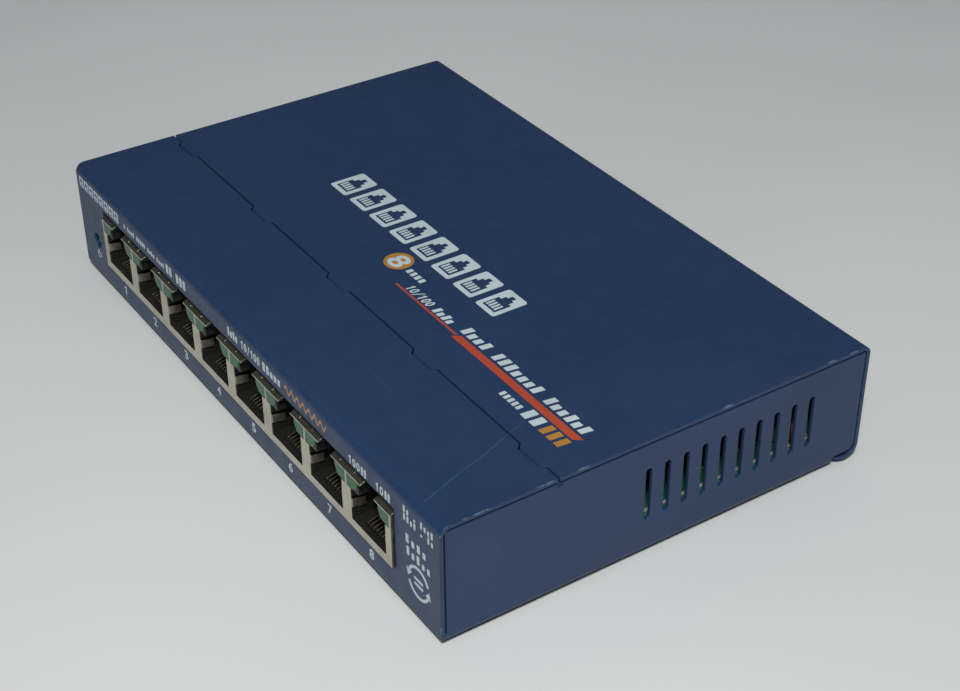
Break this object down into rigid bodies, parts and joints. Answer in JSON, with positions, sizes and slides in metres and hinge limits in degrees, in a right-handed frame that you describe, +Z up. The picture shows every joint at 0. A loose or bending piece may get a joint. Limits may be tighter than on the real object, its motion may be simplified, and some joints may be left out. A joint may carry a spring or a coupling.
{
  "type": "desktop network switch",
  "caption": "Desktop network switch: a folded sheet-metal case with a front row of shielded network ports, side vents, a slide-off cover and a rear power inlet.",
  "frame": {"origin": "under the middle of the whole footprint, in the plane of the undersides of the feet", "axes": "+X along the front from port 1 to port 8, +Y from the front panel to the rear wall, +Z up"},
  "size_m": [0.158, 0.1031, 0.028],
  "materials": {
    "navy_paint": "semi-gloss fine powder coat",
    "screw_steel": "zinc plated",
    "foot_rubber": "matte",
    "label_film": "satin film",
    "insulator_film": "matte film",
    "board_laminate": "glossy solder resist",
    "black_moulding": "satin",
    "tinned_shield": "dull tin plate",
    "gold_wire": "gold flash",
    "lamp_lens": "translucent",
    "chip_package": "matte epoxy",
    "tinned_pins": "tinned",
    "thermal_pad_grey": "matte",
    "sink_aluminium": "black anodised",
    "capacitor_sleeve": "shrink sleeve",
    "ferrite": "matte",
    "copper_wire": "enamelled",
    "resistor_ceramic": "matte"
  },
  "bodies": {
    "case": {"chassis_base": "navy_paint", "rubber_foot_front_left": "foot_rubber", "rubber_foot_front_right": "foot_rubber", "rubber_foot_rear_left": "foot_rubber", "rubber_foot_rear_right": "foot_rubber", "rating_label": "label_film", "insulator_sheet": "insulator_film", "board_standoffs": "screw_steel", "main_board": "board_laminate", "board_screws": "screw_steel", "jack_housing": "black_moulding", "jack_shield": "tinned_shield", "contact_roots": "gold_wire", "port_lamps_1": "lamp_lens", "port_lamps_2": "lamp_lens", "port_lamps_3": "lamp_lens", "port_lamps_4": "lamp_lens", "port_lamps_5": "lamp_lens", "port_lamps_6": "lamp_lens", "port_lamps_7": "lamp_lens", "port_lamps_8": "lamp_lens", "power_lamp": "lamp_lens", "lamp_holder": "black_moulding", "switch_chip": "chip_package", "chip_pins": "tinned_pins", "thermal_pad": "thermal_pad_grey", "heat_sink": "sink_aluminium", "line_transformer_1": "chip_package", "line_transformer_2": "chip_package", "line_transformer_3": "chip_package", "line_transformer_4": "chip_package", "transformer_pins": "tinned_pins", "inlet_body": "black_moulding", "inlet_pin": "tinned_pins", "capacitor_1": "capacitor_sleeve", "capacitor_2": "capacitor_sleeve", "capacitor_3": "capacitor_sleeve", "choke_core": "ferrite", "choke_winding": "copper_wire", "voltage_regulator": "chip_package", "crystal_can": "tinned_pins", "memory_chip": "chip_package", "resistor_packs": "resistor_ceramic", "input_fuse": "resistor_ceramic"},
    "cover": {"top_cover": "navy_paint", "cover_screws": "screw_steel"},
    "contacts_1": {"port_contacts_1": "gold_wire"},
    "contacts_2": {"port_contacts_2": "gold_wire"},
    "contacts_3": {"port_contacts_3": "gold_wire"},
    "contacts_4": {"port_contacts_4": "gold_wire"},
    "contacts_5": {"port_contacts_5": "gold_wire"},
    "contacts_6": {"port_contacts_6": "gold_wire"},
    "contacts_7": {"port_contacts_7": "gold_wire"},
    "contacts_8": {"port_contacts_8": "gold_wire"},
    "inlet_leaf": {"inlet_spring": "gold_wire"}
  },
  "joints": [
    {"name": "cover_slide", "type": "slide", "parent": "case", "child": "cover", "axis": [0, 1, 0], "range_m": [0, 0.09]},
    {"name": "contact_flex_1", "type": "hinge", "parent": "case", "child": "contacts_1", "pos_m": [-0.05625, -0.04937, 0.00997], "axis": [1, 0, 0], "range_deg": [-13, 0], "stiffness_Nm_per_rad": 0.5},
    {"name": "contact_flex_2", "type": "hinge", "parent": "case", "child": "contacts_2", "pos_m": [-0.04035, -0.04937, 0.00997], "axis": [1, 0, 0], "range_deg": [-13, 0], "stiffness_Nm_per_rad": 0.5},
    {"name": "contact_flex_3", "type": "hinge", "parent": "case", "child": "contacts_3", "pos_m": [-0.02445, -0.04937, 0.00997], "axis": [1, 0, 0], "range_deg": [-13, 0], "stiffness_Nm_per_rad": 0.5},
    {"name": "contact_flex_4", "type": "hinge", "parent": "case", "child": "contacts_4", "pos_m": [-0.00855, -0.04937, 0.00997], "axis": [1, 0, 0], "range_deg": [-13, 0], "stiffness_Nm_per_rad": 0.5},
    {"name": "contact_flex_5", "type": "hinge", "parent": "case", "child": "contacts_5", "pos_m": [0.00735, -0.04937, 0.00997], "axis": [1, 0, 0], "range_deg": [-13, 0], "stiffness_Nm_per_rad": 0.5},
    {"name": "contact_flex_6", "type": "hinge", "parent": "case", "child": "contacts_6", "pos_m": [0.02325, -0.04937, 0.00997], "axis": [1, 0, 0], "range_deg": [-13, 0], "stiffness_Nm_per_rad": 0.5},
    {"name": "contact_flex_7", "type": "hinge", "parent": "case", "child": "contacts_7", "pos_m": [0.03915, -0.04937, 0.00997], "axis": [1, 0, 0], "range_deg": [-13, 0], "stiffness_Nm_per_rad": 0.5},
    {"name": "contact_flex_8", "type": "hinge", "parent": "case", "child": "contacts_8", "pos_m": [0.05505, -0.04937, 0.00997], "axis": [1, 0, 0], "range_deg": [-13, 0], "stiffness_Nm_per_rad": 0.5},
    {"name": "inlet_flex", "type": "hinge", "parent": "case", "child": "inlet_leaf", "pos_m": [0.05, 0.04125, 0.0099], "axis": [1, 0, 0], "range_deg": [-6, 0], "stiffness_Nm_per_rad": 0.05}
  ]
}
